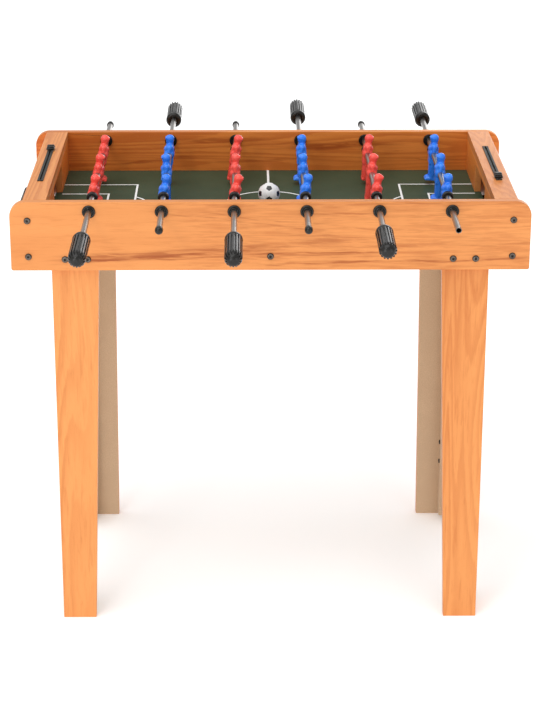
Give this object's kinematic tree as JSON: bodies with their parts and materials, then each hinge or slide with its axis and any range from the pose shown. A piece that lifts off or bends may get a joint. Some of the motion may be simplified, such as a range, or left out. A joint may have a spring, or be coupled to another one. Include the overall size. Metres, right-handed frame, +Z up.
{
  "type": "foosball table",
  "caption": "Small free-standing foosball table with sliding, spinning player rods over a green field, end goals with ball trays, score counters and four L-shaped legs.",
  "frame": {"origin": "on the floor, under the middle of the table", "axes": "+X along the table to the right end, +Y along the rods from the front of the table to the back, +Z up"},
  "size_m": [0.696, 0.781, 0.6348],
  "materials": {
    "maple_board": "satin",
    "raw_board": "matte",
    "field_green": "satin",
    "black_plastic": "satin",
    "black_rubber": "matte",
    "steel_tube": "brushed",
    "black_screw": "satin",
    "red_plastic": "satin",
    "blue_plastic": "satin",
    "ball_plastic": "gloss",
    "gray_plastic": "satin"
  },
  "bodies": {
    "cabinet": {"front_panel": "maple_board", "back_panel": "maple_board", "left_end_board": "maple_board", "right_end_board": "maple_board", "left_end_rail": "maple_board", "right_end_rail": "maple_board", "left_goal_wall": "maple_board", "right_goal_wall": "maple_board", "playfield": "field_green", "field_battens": "raw_board", "left_ball_tray": "black_plastic", "right_ball_tray": "black_plastic", "left_score_track": "gray_plastic", "right_score_track": "gray_plastic", "front_left_leg_face": "maple_board", "front_right_leg_face": "maple_board", "back_left_leg_face": "maple_board", "back_right_leg_face": "maple_board", "front_left_leg_side": "maple_board", "front_right_leg_side": "maple_board", "back_left_leg_side": "maple_board", "back_right_leg_side": "maple_board", "leg_corner_strips": "raw_board", "panel_screws": "black_screw", "leg_screws": "black_screw", "small_screws": "black_screw", "front_bushings": "black_plastic", "back_bushings": "black_plastic"},
    "left_score_slider": {"left_score_slider": "black_plastic"},
    "right_score_slider": {"right_score_slider": "black_plastic"},
    "ball": {"ball": "ball_plastic"},
    "rod_1_carriage": {"rod_1_bumpers": "black_rubber"},
    "rod_1": {"rod_1_tube": "steel_tube", "rod_1_handle": "black_plastic", "rod_1_players": "red_plastic", "rod_1_end_cap": "black_rubber"},
    "rod_2_carriage": {"rod_2_bumpers": "black_rubber"},
    "rod_2": {"rod_2_tube": "steel_tube", "rod_2_handle": "black_plastic", "rod_2_players": "blue_plastic", "rod_2_end_cap": "black_rubber"},
    "rod_3_carriage": {"rod_3_bumpers": "black_rubber"},
    "rod_3": {"rod_3_tube": "steel_tube", "rod_3_handle": "black_plastic", "rod_3_players": "red_plastic", "rod_3_end_cap": "black_rubber"},
    "rod_4_carriage": {"rod_4_bumpers": "black_rubber"},
    "rod_4": {"rod_4_tube": "steel_tube", "rod_4_handle": "black_plastic", "rod_4_players": "blue_plastic", "rod_4_end_cap": "black_rubber"},
    "rod_5_carriage": {"rod_5_bumpers": "black_rubber"},
    "rod_5": {"rod_5_tube": "steel_tube", "rod_5_handle": "black_plastic", "rod_5_players": "red_plastic", "rod_5_end_cap": "black_rubber"},
    "rod_6_carriage": {"rod_6_bumpers": "black_rubber"},
    "rod_6": {"rod_6_tube": "steel_tube", "rod_6_handle": "black_plastic", "rod_6_players": "blue_plastic"}
  },
  "joints": [
    {"name": "left_score_slide", "type": "slide", "parent": "cabinet", "child": "left_score_slider", "axis": [0, 1, 0], "range_m": [-0.1506, 0.003]},
    {"name": "right_score_slide", "type": "slide", "parent": "cabinet", "child": "right_score_slider", "axis": [0, 1, 0], "range_m": [-0.003, 0.1506]},
    {"name": "ball_lift", "type": "slide", "parent": "cabinet", "child": "ball", "axis": [0, 0, 1], "range_m": [0, 0.15]},
    {"name": "rod_1_slide", "type": "slide", "parent": "cabinet", "child": "rod_1_carriage", "axis": [0, 1, 0], "range_m": [-0.0465, 0.0465]},
    {"name": "rod_1_spin", "type": "hinge", "parent": "rod_1_carriage", "child": "rod_1", "pos_m": [-0.24, 0, 0.6068], "axis": [0, 1, 0], "continuous": true},
    {"name": "rod_2_slide", "type": "slide", "parent": "cabinet", "child": "rod_2_carriage", "axis": [0, 1, 0], "range_m": [-0.0465, 0.0465]},
    {"name": "rod_2_spin", "type": "hinge", "parent": "rod_2_carriage", "child": "rod_2", "pos_m": [-0.144, 0, 0.6068], "axis": [0, 1, 0], "continuous": true},
    {"name": "rod_3_slide", "type": "slide", "parent": "cabinet", "child": "rod_3_carriage", "axis": [0, 1, 0], "range_m": [-0.0465, 0.0465]},
    {"name": "rod_3_spin", "type": "hinge", "parent": "rod_3_carriage", "child": "rod_3", "pos_m": [-0.048, 0, 0.6068], "axis": [0, 1, 0], "continuous": true},
    {"name": "rod_4_slide", "type": "slide", "parent": "cabinet", "child": "rod_4_carriage", "axis": [0, 1, 0], "range_m": [-0.0465, 0.0465]},
    {"name": "rod_4_spin", "type": "hinge", "parent": "rod_4_carriage", "child": "rod_4", "pos_m": [0.048, 0, 0.6068], "axis": [0, 1, 0], "continuous": true},
    {"name": "rod_5_slide", "type": "slide", "parent": "cabinet", "child": "rod_5_carriage", "axis": [0, 1, 0], "range_m": [-0.0465, 0.0465]},
    {"name": "rod_5_spin", "type": "hinge", "parent": "rod_5_carriage", "child": "rod_5", "pos_m": [0.144, 0, 0.6068], "axis": [0, 1, 0], "continuous": true},
    {"name": "rod_6_slide", "type": "slide", "parent": "cabinet", "child": "rod_6_carriage", "axis": [0, 1, 0], "range_m": [-0.0465, 0.0465]},
    {"name": "rod_6_spin", "type": "hinge", "parent": "rod_6_carriage", "child": "rod_6", "pos_m": [0.24, 0, 0.6068], "axis": [0, 1, 0], "continuous": true}
  ]
}
